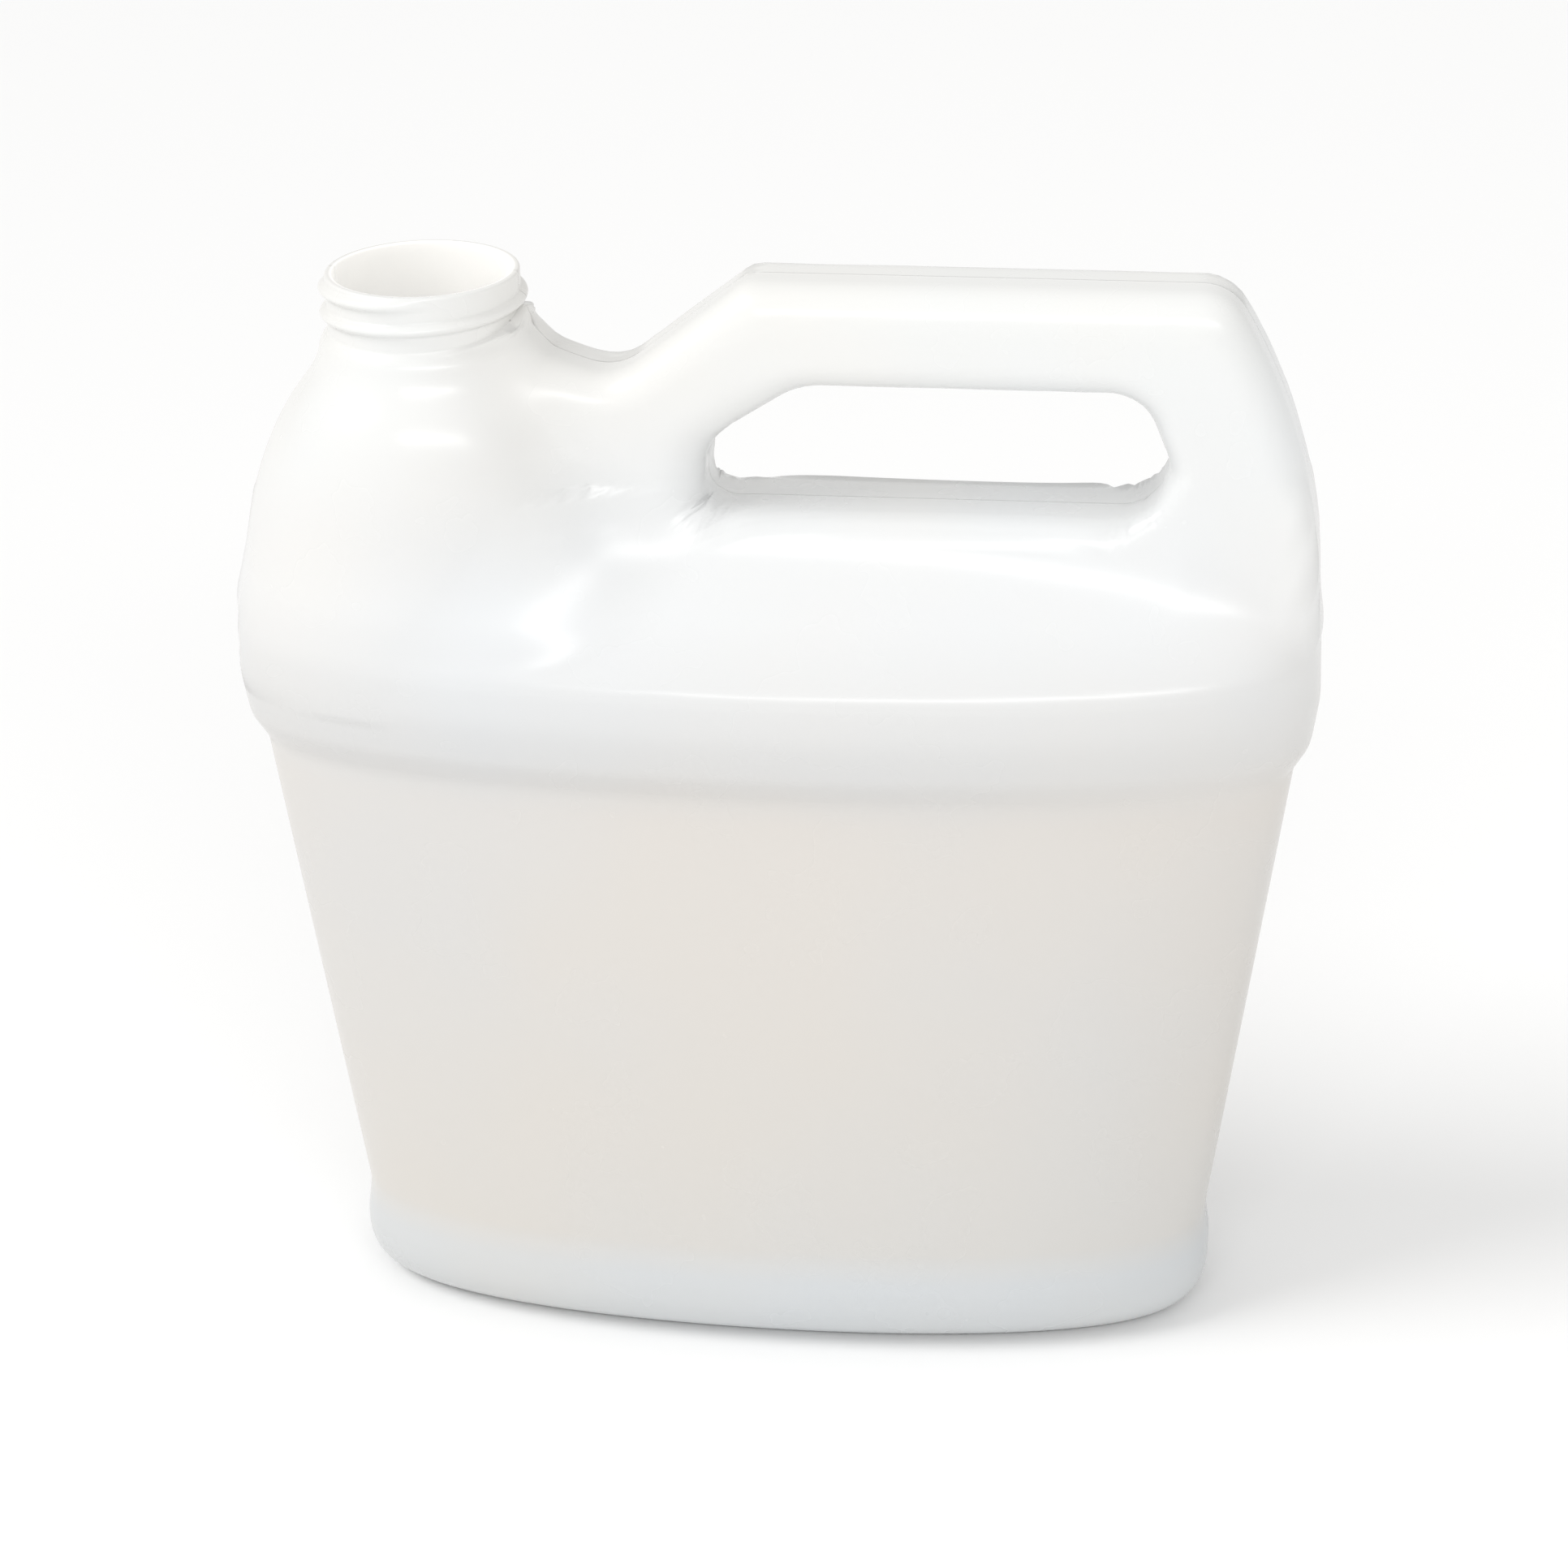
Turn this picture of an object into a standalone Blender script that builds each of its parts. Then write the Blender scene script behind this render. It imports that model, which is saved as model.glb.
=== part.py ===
"""Blow-moulded 3 litre jug with an offset threaded neck and a moulded-in carrying handle.

One hollow shell of milky polyethylene, made in a two-part mould whose parting plane is y = 0.
X runs along the jug (neck at -X, handle at +X), -Y is the front, Z is up and the jug stands
on z = 0 with the middle of its plan on the origin.  Lengths below are millimetres until the mesh
is written in metres.
"""
import bmesh
import bpy
import numpy as np

# Driving dimensions
WALL = 1.0                      # blown wall
BASE_HALF_LENGTH = 104.3        # plan of the base, at the waist above the base bulge
BASE_HALF_DEPTH = 38.3
BASE_EDGE_RADIUS = 12.5
PUSH_UP = 2.5                   # hollow under the base
WAIST_Z = 24.5
STEP_Z = 146.4                  # step between the label panel and the shoulder above it
STEP_HALF_LENGTH = 121.6
STEP_HALF_DEPTH = 36.8
SHOULDER_HALF_LENGTH = 126.8
SHOULDER_HALF_DEPTH = 42.7
SHOULDER_Z = 159.6              # where the shoulder has reached its full size
RIDGE_Z = 174.6                 # edge between the shoulder and the slope up to the handle
SLOPE_TOP_Z = 205.4
SLOPE_TOP_HALF_DEPTH = 9.4
PLAN_POWER_X = 2.0              # plan sections are |x/a|^px + |y/b|^py = 1
PLAN_POWER_Y = 3.0

NECK_X = -78.5
RIM_Z = 259.1
COLLAR_RADIUS = 23.9
NECK_RADIUS = 21.7
BORE_RADIUS = 20.0
THREAD_PITCH = 5.8
THREAD_HEIGHT = 1.6
THREAD_HALF_WIDTH = 1.6
THREAD_DROP_FRONT = 7.7         # lower turn of the thread below the rim, at the front
THREAD_TURNS = 1.5

TOWER_RADIUS = 48.3             # bulged tower that carries the neck
TOWER_MID_Z = 166.1
TOWER_RISE = 82.5
TOWER_FOOT_Z = 160.7

HANDLE_TOP_Z = 260.0
HANDLE_HALF_DEPTH = 13.9
HANDLE_EDGE = 7.8
RIGHT_ARC_RADIUS = 132.2        # right end seen from the front
RIGHT_ARC_CENTRE = (-6.6, 186.5)
HOLE_CORNERS = (
    # x, z, corner radius: the finger opening, counter-clockwise from its lower left corner
    (-17.5, 208.8, 6.2), (87.2, 208.8, 8.5), (89.9, 220.7, 9.7),
    (83.8, 236.7, 9.7), (2.1, 236.7, 15.0), (-16.1, 221.5, 12.9),
)

# Mesh net of the front half: columns left to right, rows from the step up
RING_COLUMNS = 14               # half of the neck ring
WEB_COLUMNS = 3
HOLE_COLUMNS = 14
RIGHT_COLUMNS = 8
LOWER_ROWS = 8
HOLE_ROWS = 5
HANDLE_ROWS = 8
STEP_ROWS = 4
PANEL_ROWS = 3
BASE_ROWS = 4
ARC_POINTS = 4


def rounded_path(corners, closed):
    """Polyline through corners (u, v, radius) with each corner replaced by an arc."""
    path = []
    count = len(corners)
    for k in range(count):
        here = np.array(corners[k][:2])
        radius = corners[k][2]
        if radius == 0 or (not closed and k in (0, count - 1)):
            path.append(here)
            continue
        to_last = np.array(corners[k - 1][:2]) - here
        to_next = np.array(corners[(k + 1) % count][:2]) - here
        to_last /= np.linalg.norm(to_last)
        to_next /= np.linalg.norm(to_next)
        half = 0.5 * np.arccos(np.clip(to_last @ to_next, -1.0, 1.0))
        middle = to_last + to_next
        centre = here + middle / np.linalg.norm(middle) * radius / np.sin(half)
        first = here + to_last * radius / np.tan(half) - centre
        last = here + to_next * radius / np.tan(half) - centre
        turn = np.arctan2(first[0] * last[1] - first[1] * last[0], first @ last)
        for angle in np.linspace(0.0, turn, ARC_POINTS):
            c, s = np.cos(angle), np.sin(angle)
            path.append(centre + (c * first[0] - s * first[1], s * first[0] + c * first[1]))
    return np.array(path)


def outline_distance(path, x, z):
    """Signed distance to a closed outline in the parting plane, negative inside."""
    best = np.full(x.shape, 1e9)
    inside = np.zeros(x.shape, dtype=bool)
    for (x0, z0), (x1, z1) in zip(path, np.roll(path, -1, axis=0)):
        ex, ez = x1 - x0, z1 - z0
        t = np.clip(((x - x0) * ex + (z - z0) * ez) / (ex * ex + ez * ez), 0.0, 1.0)
        best = np.minimum(best, np.hypot(x - x0 - t * ex, z - z0 - t * ez))
        if z0 != z1:
            inside ^= ((z0 > z) != (z1 > z)) & (x < x0 + (z - z0) * ex / ez)
    return np.where(inside, -best, best)


def smooth_union(first, second, width):
    """Lower envelope of two fields with a fillet of the given width where they meet."""
    overlap = np.maximum(width - np.abs(first - second), 0.0) / width
    return np.minimum(first, second) - overlap * overlap * width * 0.25


# Half length and half depth of the plan section against height, as rounded profiles
LENGTH_PROFILE = rounded_path((
    (BASE_HALF_LENGTH + 1.2, 0.0, 0), (BASE_HALF_LENGTH + 1.2, 15.6, 12.5),
    (BASE_HALF_LENGTH, WAIST_Z, 12.5), (STEP_HALF_LENGTH, STEP_Z, 1.5),
    (SHOULDER_HALF_LENGTH - 0.3, STEP_Z + 10.0, 9.4), (SHOULDER_HALF_LENGTH, RIDGE_Z - 3.1, 12.5),
    (SHOULDER_HALF_LENGTH - 2.5, RIDGE_Z + 10.4, 12.5),
    (SHOULDER_HALF_LENGTH - 14.6, SLOPE_TOP_Z, 0)), False)
DEPTH_PROFILE = rounded_path((
    (BASE_HALF_DEPTH + 1.2, 0.0, 0), (BASE_HALF_DEPTH + 1.2, 15.6, 12.5),
    (BASE_HALF_DEPTH, WAIST_Z, 12.5), (STEP_HALF_DEPTH, STEP_Z, 1.5),
    (SHOULDER_HALF_DEPTH - 0.3, STEP_Z + 10.0, 9.4), (SHOULDER_HALF_DEPTH, RIDGE_Z, 5.2),
    (SLOPE_TOP_HALF_DEPTH, SLOPE_TOP_Z, 0), (1.0, SLOPE_TOP_Z + 8.3, 0)), False)

# Outline of the flat upper part in the parting plane, and of the hole in it
ARC_TOP = np.arcsin((HANDLE_TOP_Z - RIGHT_ARC_CENTRE[1]) / RIGHT_ARC_RADIUS)
RIGHT_ARC = [(RIGHT_ARC_CENTRE[0] + RIGHT_ARC_RADIUS * np.cos(a),
              RIGHT_ARC_CENTRE[1] + RIGHT_ARC_RADIUS * np.sin(a), 0)
             for a in np.linspace(0.15, ARC_TOP - 0.09, 7)]
RIGHT_CORNER = (RIGHT_ARC_CENTRE[0] + RIGHT_ARC_RADIUS * np.cos(ARC_TOP), HANDLE_TOP_Z, 16.1)
PLATE_FOOT = [(101.9, 158.1, 0), (116.5, 172.6, 0), (122.7, 185.1, 12.5)]
PLATE_OUTLINE = rounded_path(PLATE_FOOT + RIGHT_ARC + [RIGHT_CORNER] + [
    (-4.0, HANDLE_TOP_Z, 6.2), (-34.3, 237.1, 10.4), (-48.4, 242.9, 5.2),
    (-56.0, 250.6, 0), (NECK_X, 250.6, 0), (NECK_X, 160.7, 0)], True)
HOLE_OUTLINE = rounded_path(HOLE_CORNERS, True)
NECK_PROFILE = rounded_path((
    (COLLAR_RADIUS, 160.7, 0), (COLLAR_RADIUS, 244.6, 1.2), (NECK_RADIUS, 246.8, 1.2),
    (NECK_RADIUS, RIM_Z + 10.4, 0)), False)


def plan_field(x, y, z):
    """Lower body: a superellipse section whose half axes follow the two profiles."""
    a = np.interp(z, LENGTH_PROFILE[:, 1], LENGTH_PROFILE[:, 0])
    b = np.interp(z, DEPTH_PROFILE[:, 1], DEPTH_PROFILE[:, 0])
    b_slope = (np.interp(z + 0.5, DEPTH_PROFILE[:, 1], DEPTH_PROFILE[:, 0]) - b) / 0.5
    u = np.abs(x) / a
    v = np.abs(y) / b
    value = u ** PLAN_POWER_X + v ** PLAN_POWER_Y
    gx = PLAN_POWER_X * u ** (PLAN_POWER_X - 1.0) / a
    gy = PLAN_POWER_Y * v ** (PLAN_POWER_Y - 1.0) / b
    steep = np.sqrt(gx * gx + gy * gy * (1.0 + b_slope * b_slope)) + 0.004
    return np.maximum((value - 1.0) / steep, z - SLOPE_TOP_Z - 0.5)


def tower_field(x, y, z):
    """Bulged tower under the neck: squarish in plan low down, round where it meets the neck.

    Its plan stays within the shoulder's own plan, so the jug's left end keeps one outline.
    """
    low = np.clip((214.2 - z) / 37.4, 0.0, 1.0)
    power = 2.0 + 0.7 * low
    narrow = 1.0 + 0.12 * low * low * (3.0 - 2.0 * low)
    rise = np.clip((z - TOWER_MID_Z) / TOWER_RISE, 0.0, 0.995)
    scale = TOWER_RADIUS * np.sqrt(1.0 - rise * rise)
    radius = (np.abs(x - NECK_X) ** power + np.abs(y * narrow) ** power) ** (1.0 / power)
    steep = np.hypot(1.0, TOWER_RADIUS * rise / (TOWER_RISE * np.sqrt(1.0 - rise * rise)))
    u = np.abs(x) / (TOWER_RADIUS - NECK_X)
    v = np.abs(y) / (SHOULDER_HALF_DEPTH - 0.5)
    gx = PLAN_POWER_X * u ** (PLAN_POWER_X - 1.0) / (TOWER_RADIUS - NECK_X)
    gy = PLAN_POWER_Y * v ** (PLAN_POWER_Y - 1.0) / SHOULDER_HALF_DEPTH
    plan = (u ** PLAN_POWER_X + v ** PLAN_POWER_Y - 1.0) / (np.hypot(gx, gy) + 0.004)
    bulge = -smooth_union(-(radius - scale) / steep, -plan, 8.3)
    return np.maximum(bulge, TOWER_FOOT_Z - z)


def jug_field(x, y, z):
    """Whole outside below the thread: negative inside the jug, zero on its surface."""
    edge = np.maximum(outline_distance(PLATE_OUTLINE, x, z), -outline_distance(HOLE_OUTLINE, x, z))
    side = np.abs(y) - HANDLE_HALF_DEPTH
    plate = (np.minimum(np.maximum(edge, side) + HANDLE_EDGE, 0.0) - HANDLE_EDGE
             + np.hypot(np.maximum(edge + HANDLE_EDGE, 0.0), np.maximum(side + HANDLE_EDGE, 0.0)))
    field = smooth_union(plan_field(x, y, z), tower_field(x, y, z), 10.4)
    field = smooth_union(field, plate, 9.4)
    neck = np.hypot(x - NECK_X, y) - np.interp(z, NECK_PROFILE[:, 1], NECK_PROFILE[:, 0])
    field = smooth_union(field, neck, 5.2)
    cut = np.interp(x, (-8.3, 12.5), (14.6, 6.2))
    return -smooth_union(-field, outline_distance(HOLE_OUTLINE, x, z), cut)


def jug_normal(points):
    """Outward unit normal of the field at points, by central differences."""
    step = 0.15
    slope = np.empty_like(points)
    for axis in range(3):
        ahead = points.copy()
        back = points.copy()
        ahead[..., axis] += step
        back[..., axis] -= step
        rise = jug_field(*np.moveaxis(ahead, -1, 0))
        slope[..., axis] = rise - jug_field(*np.moveaxis(back, -1, 0))
    return slope / np.linalg.norm(slope, axis=-1, keepdims=True)


def spread(knots, count):
    """Values at count + 1 even steps between the knots, each knot row being (step, values...)."""
    knots = np.array(knots, dtype=float)
    steps = np.arange(count + 1) / count
    return np.stack([np.interp(steps, knots[:, 0], knots[:, k]) for k in range(1, knots.shape[1])], -1)


# Net of the front half above the step: each node has a start point in the parting plane and
# a direction, and the surface is where a ray from that start leaves the jug.
LEFT = RING_COLUMNS + WEB_COLUMNS
COLUMNS = LEFT + HOLE_COLUMNS + RIGHT_COLUMNS
ROWS = LOWER_ROWS + HOLE_ROWS + HANDLE_ROWS
I0, I1 = LEFT, LEFT + HOLE_COLUMNS
J0, J1 = LOWER_ROWS, LOWER_ROWS + HOLE_ROWS


def ray_net():
    """Start points (x, z) and directions (dx, weight, dz) of every node, relaxed in between."""
    net = np.zeros((COLUMNS + 1, ROWS + 1, 5))
    fixed = np.zeros((COLUMNS + 1, ROWS + 1), dtype=bool)
    depth = 3.0
    # left end, from the step up to the neck
    net[0, :, [0, 1, 2, 4]] = spread([(0, -90.0, SHOULDER_Z, -1, 0), (0.3, -85.7, 176.8, -1, 0),
                                      (0.75, NECK_X, 219.6, -1, 0), (1, NECK_X, 245.3, -1, 0)], ROWS).T
    # right end, from the step up to the handle's corner
    net[-1, :, [0, 1, 2, 4]] = spread([(0, 90.0, SHOULDER_Z, 1, 0), (0.3, 101.9, 182.1, 1, 0),
                                       (0.7, 110.2, 222.6, 1, 0.1), (0.85, 107.1, 238.2, 0.9, 0.4), (1, 99.8, 250.6, 0.7, 0.7)], ROWS).T
    # level section round the shoulder
    for i in range(COLUMNS + 1):
        turn = np.interp(i, (0, LEFT, I1, COLUMNS), np.radians((-90, -22, 40, 90)))
        net[i, 0] = (90.0 * np.sin(turn), SHOULDER_Z, np.sin(turn), depth * np.cos(turn), 0.0)
    # neck ring, from its left point round the front to its right point
    for i in range(RING_COLUMNS + 1):
        turn = np.pi * (1.0 + i / RING_COLUMNS)
        lift = 4.2 * (0.5 + 0.5 * np.cos(turn)) ** 4
        net[i, -1] = (NECK_X, 245.8 + lift, np.cos(turn), -np.sin(turn), 0.0)
    # top edge, from the web beside the neck over the valley and the handle
    top = spread([(0, NECK_X, 249.8, 1, 0), (0.06, -62.1, 237.8, 0.8, 0.6), (0.12, -49.3, 229.2, 0.35, 0.95),
                  (0.2, -36.4, 226.0, -0.2, 1), (0.3, -19.2, 235.7, -0.6, 0.8), (0.4, -2.1, 247.4, -0.3, 1),
                  (0.48, 10.4, 248.6, 0, 1), (0.85, 87.4, 250.6, 0.1, 1), (1, 99.8, 250.6, 0.7, 0.7)],
                 COLUMNS - RING_COLUMNS)
    net[RING_COLUMNS:, -1, [0, 1, 2, 4]] = top
    net[RING_COLUMNS, -1] = (NECK_X, 249.8, 1.0, 0.0, 0.0)
    # hole: floor, left end, right end, top
    across = np.arange(I0, I1 + 1)
    share = (across - I0) / HOLE_COLUMNS
    net[I0:I1 + 1, J0, 0] = -19.2 + 108.2 * share
    net[I0:I1 + 1, J0, 1] = 197.1
    net[I0:I1 + 1, J0, 4] = 1.0
    net[I0:I1 + 1, J1, 0] = -12.9 + 102.9 * share
    net[I0:I1 + 1, J1, 1] = 248.1
    net[I0:I1 + 1, J1, 4] = -1.0
    net[I0, J0:J1 + 1, [0, 1, 2, 4]] = spread([(0, -25.7, 199.3, 0.7, 0.7), (0.4, -27.9, 213.2, 1, 0),
                                               (0.8, -20.4, 234.6, 0.8, -0.6), (1, -11.8, 242.1, 0.6, -0.8)],
                                              HOLE_ROWS).T
    net[I1, J0:J1 + 1, [0, 1, 2, 4]] = spread([(0, 96.4, 199.3, -0.7, 0.7), (0.4, 102.9, 216.4, -1, 0),
                                               (0.7, 101.8, 227.1, -1, 0), (1, 95.2, 246.5, -0.7, -0.7)],
                                              HOLE_ROWS).T
    fixed[[0, -1], :] = True
    fixed[:, [0, -1]] = True
    fixed[I0:I1 + 1, J0:J1 + 1] = True
    source = np.zeros(5)
    source[3] = 8.0 / HANDLE_ROWS ** 2
    free = ~fixed
    for _ in range(2 * (COLUMNS + ROWS) ** 2):
        mean = 0.25 * (net[:-2, 1:-1] + net[2:, 1:-1] + net[1:-1, :-2] + net[1:-1, 2:] + source)
        inner = free[1:-1, 1:-1]
        net[1:-1, 1:-1][inner] = mean[inner]
    weight = net[..., 3]
    net[..., 3] = weight * weight / (weight + 1.0)
    return net


def shoot(start, ray):
    """First point where each ray leaves the jug, by marching and then halving."""
    ray = ray / np.linalg.norm(ray, axis=-1, keepdims=True)
    near = np.zeros(start.shape[:-1])
    far = np.full(start.shape[:-1], 74.0)
    done = np.zeros(start.shape[:-1], dtype=bool)
    for reach in np.arange(2.0, 74.0, 2.0):
        point = start + ray * reach
        outside = jug_field(*np.moveaxis(point, -1, 0)) > 0.0
        first = outside & ~done
        near[first] = reach - 2.0
        far[first] = reach
        done |= outside
    for _ in range(16):
        middle = 0.5 * (near + far)
        point = start + ray * middle[..., None]
        outside = jug_field(*np.moveaxis(point, -1, 0)) > 0.0
        far = np.where(outside, middle, far)
        near = np.where(outside, near, middle)
    return start + ray * far[..., None]


def upper_front():
    """Front half above the label panel: step sections, then the net, as (column, row, xyz)."""
    net = ray_net()
    start = np.stack([net[..., 0], np.zeros(net.shape[:2]), net[..., 1]], -1)
    ray = np.stack([net[..., 2], -net[..., 3], net[..., 4]], -1)
    hidden = np.zeros(net.shape[:2], dtype=bool)
    hidden[I0 + 1:I1, J0 + 1:J1] = True
    ray[hidden] = (0.0, -1.0, 0.0)
    points = shoot(start, ray)
    flat = ray[..., 1] == 0.0
    points[..., 1] = np.where(flat & ~hidden, 0.0, points[..., 1])
    sections = []
    for z in np.linspace(STEP_Z, SHOULDER_Z, STEP_ROWS + 1)[:-1]:
        level = start[:, 0].copy()
        level[:, 2] = z
        section = shoot(level, ray[:, 0])
        section[[0, -1], 1] = 0.0
        sections.append(section)
    return np.concatenate([np.stack(sections, axis=1), points], axis=1)


def lower_front(step_row):
    """Front half below the step: plan sections down the panel, round the base and under it."""
    rows = []
    heights = np.concatenate([np.linspace(STEP_Z - 2.1, 34.3, PANEL_ROWS), [26.5, 20.8, 15.6]])
    shape = step_row / (np.array([STEP_HALF_LENGTH, STEP_HALF_DEPTH, 1.0]))
    sizes = [(np.interp(z, LENGTH_PROFILE[:, 1], LENGTH_PROFILE[:, 0]),
              np.interp(z, DEPTH_PROFILE[:, 1], DEPTH_PROFILE[:, 0]), z) for z in heights]
    foot_a, foot_b = LENGTH_PROFILE[0, 0], DEPTH_PROFILE[0, 0]
    for turn in np.linspace(0.0, 0.5 * np.pi, BASE_ROWS):
        inset = BASE_EDGE_RADIUS * (1.0 - np.cos(turn))
        sizes.append((foot_a - inset, foot_b - inset, BASE_EDGE_RADIUS * (1.0 - np.sin(turn))))
    for inset, rise in ((5.0, 0.0), (10.0, 1.0)):
        sizes.append((foot_a - BASE_EDGE_RADIUS - inset, foot_b - BASE_EDGE_RADIUS - inset,
                      PUSH_UP * rise))
    for a, b, z in sizes:
        rows.append(np.stack([shape[:, 0] * a, shape[:, 1] * b, np.full(len(shape), z)], -1))
    seam = rows[-1].copy()
    seam[:, 0] *= 0.9
    seam[:, 1] = 0.0
    rows.append(seam)
    return np.array(rows)


def thread_bulge(turn, z):
    """Height of the right-hand thread over the neck at angle turn and height z."""
    front = 1.5 * np.pi
    lower = RIM_Z - THREAD_DROP_FRONT
    bulge = np.zeros(np.broadcast(turn, z).shape)
    for lap in (-1, 0, 1, 2):
        along = (turn - front) / (2.0 * np.pi) + lap
        gap = (z - lower - THREAD_PITCH * along) / THREAD_HALF_WIDTH
        fade = np.clip(10.0 * (along + 0.45), 0.0, 1.0)
        fade = fade * np.clip(10.0 * (THREAD_TURNS - 0.45 - along), 0.0, 1.0)
        bulge = np.maximum(bulge, THREAD_HEIGHT * fade * np.cos(0.5 * np.pi * np.clip(gap, -1, 1)))
    return bulge


def neck_outside(ring):
    """Rings from the collar up to the rim; ring holds the points where the neck starts."""
    turn = np.arctan2(ring[:, 1], ring[:, 0] - NECK_X)
    turn = np.where(turn <= 0.0, turn + 2.0 * np.pi, turn)
    rings = []
    drops = np.arange(11.8, 0.9, -0.98)
    for k, drop in enumerate(drops):
        share = min(1.0, (k + 1) / 6.0)
        z = (1.0 - share) * (ring[:, 2] + 0.4 * k) + share * (RIM_Z - drop)
        z = np.maximum(z, ring[:, 2] + 0.35 * (k + 1))
        r = np.interp(z, NECK_PROFILE[:, 1], NECK_PROFILE[:, 0]) + thread_bulge(turn, z)
        rings.append(np.stack([NECK_X + r * np.cos(turn), r * np.sin(turn), z], -1))
    for r, z in ((NECK_RADIUS, RIM_Z - 0.45), (NECK_RADIUS - 0.5, RIM_Z),
                 (BORE_RADIUS + 0.5, RIM_Z), (BORE_RADIUS, RIM_Z - 0.45)):
        rings.append(np.stack([NECK_X + r * np.cos(turn), r * np.sin(turn), np.full(len(turn), z)], -1))
    return rings, turn


def wall_at(points):
    """Wall thickness: even in the body and thicker towards the collar."""
    close = np.clip((points[..., 2] - 229.2) / 15.0, 0.0, 1.0)
    close = close * np.clip((34.3 - np.hypot(points[..., 0] - NECK_X, points[..., 1])) / 6.0, 0.0, 1.0)
    return WALL + 2.3 * close * close


def build_mesh():
    """Vertices and faces of the whole shell, outside and inside."""
    verts = []
    faces = []
    index = {}

    def vertex(key, point):
        if key not in index:
            index[key] = len(verts)
            verts.append(tuple(point))
        return index[key]

    upper = upper_front()
    lower = lower_front(upper[:, 0])
    whole = np.concatenate([lower[::-1], np.swapaxes(upper, 0, 1)], axis=0)   # row, column
    below = len(lower) + STEP_ROWS
    outside = whole.copy()
    normal = jug_normal(np.where(np.isfinite(whole), whole, 0.0))
    base = outside[..., 2] < BASE_EDGE_RADIUS + 2.0
    # the field has no base, so the base's own slope comes from the rows themselves
    along_rows = np.gradient(outside, axis=0)
    along_columns = np.gradient(outside, axis=1)
    own = np.cross(along_columns, along_rows)
    own /= np.linalg.norm(own, axis=-1, keepdims=True) + 1e-9
    away = outside - np.array([0.0, 0.0, RIM_Z])
    own = np.where((own * away).sum(-1, keepdims=True) < 0.0, -own, own)
    normal = np.where(base[..., None], own, normal)
    normal[:below, [0, -1], 1] = 0.0
    normal[0] = (0.0, 0.0, -1.0)
    normal /= np.linalg.norm(normal, axis=-1, keepdims=True) + 1e-9
    inside = outside - normal * wall_at(outside)[..., None]
    seam_row = outside[..., 1] == 0.0
    inside[..., 1] = np.where(seam_row, 0.0, inside[..., 1])
    ring_row = whole.shape[0] - 1
    for i in range(RING_COLUMNS + 1):
        spot = outside[ring_row, i]
        reach = np.hypot(spot[0] - NECK_X, spot[1])
        inside[ring_row, i] = (NECK_X + (spot[0] - NECK_X) * BORE_RADIUS / reach,
                               spot[1] * BORE_RADIUS / reach, spot[2] - 1.5)

    rows, columns = whole.shape[:2]
    corner = {(rows - 1, columns - 1), (0, 0), (0, columns - 1)}
    for layer, grid in (("out", outside), ("in", inside)):
        for side in (1.0, -1.0):
            def name(r, c):
                shared = abs(grid[r, c, 1]) < 1e-9
                return (layer, 0.0 if shared else side, r, c)

            for r in range(rows - 1):
                for c in range(columns - 1):
                    if below + J0 <= r < below + J1 and I0 <= c < I1:
                        continue
                    loop = [(r, c), (r, c + 1), (r + 1, c + 1), (r + 1, c)]
                    loop = [k for k in loop if k not in corner]
                    ids = [vertex(name(*k), grid[k] * (1.0, side, 1.0)) for k in loop]
                    if (layer == "out") == (side > 0.0):
                        faces.append(ids)
                    else:
                        faces.append(ids[::-1])

    # neck: closed rings from the collar over the rim down to the inside
    half = list(range(RING_COLUMNS + 1))
    ring_keys = [(1.0, c) for c in half] + [(-1.0, c) for c in half[-2:0:-1]]
    def ring_of(layer, grid):
        ids = []
        for side, c in ring_keys:
            shared = abs(grid[ring_row, c, 1]) < 1e-9
            ids.append(index[(layer, 0.0 if shared else side, ring_row, c)])
        return ids
    start = ring_of("out", outside)
    rings, turn = neck_outside(np.array([verts[k] for k in start]))
    last = start
    for number, ring in enumerate(rings):
        ids = [vertex(("neck", number, k), point) for k, point in enumerate(ring)]
        count = len(ids)
        for k in range(count):
            n = (k + 1) % count
            faces.append([last[k], last[n], ids[n], ids[k]])
        last = ids
    ids = ring_of("in", inside)
    for k in range(len(ids)):
        n = (k + 1) % len(ids)
        faces.append([last[k], last[n], ids[n], ids[k]])
    return np.array(verts) * 0.001, faces


for old in list(bpy.data.objects):
    bpy.data.objects.remove(old, do_unlink=True)

points, polygons = build_mesh()
points[:, 0] -= 0.5 * (points[:, 0].min() + points[:, 0].max())
mesh = bpy.data.meshes.new("jug")
mesh.from_pydata([tuple(p) for p in points], [], polygons)
work = bmesh.new()
work.from_mesh(mesh)
bmesh.ops.recalc_face_normals(work, faces=work.faces)
work.to_mesh(mesh)
work.free()
mesh.validate()

jug = bpy.data.objects.new("jug", mesh)
bpy.context.scene.collection.objects.link(jug)
mesh.shade_smooth()
mesh.set_sharp_from_angle(angle=np.radians(40.0))

plastic = bpy.data.materials.new("hdpe")
plastic.use_nodes = True
shader = plastic.node_tree.nodes["Principled BSDF"]
shader.inputs["Base Color"].default_value = (0.84, 0.84, 0.82, 1.0)
shader.inputs["Roughness"].default_value = 0.4
shader.inputs["Metallic"].default_value = 0.0
mesh.materials.append(plastic)
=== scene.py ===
import bpy
import numpy as np
from mathutils import Matrix, Vector


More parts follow.
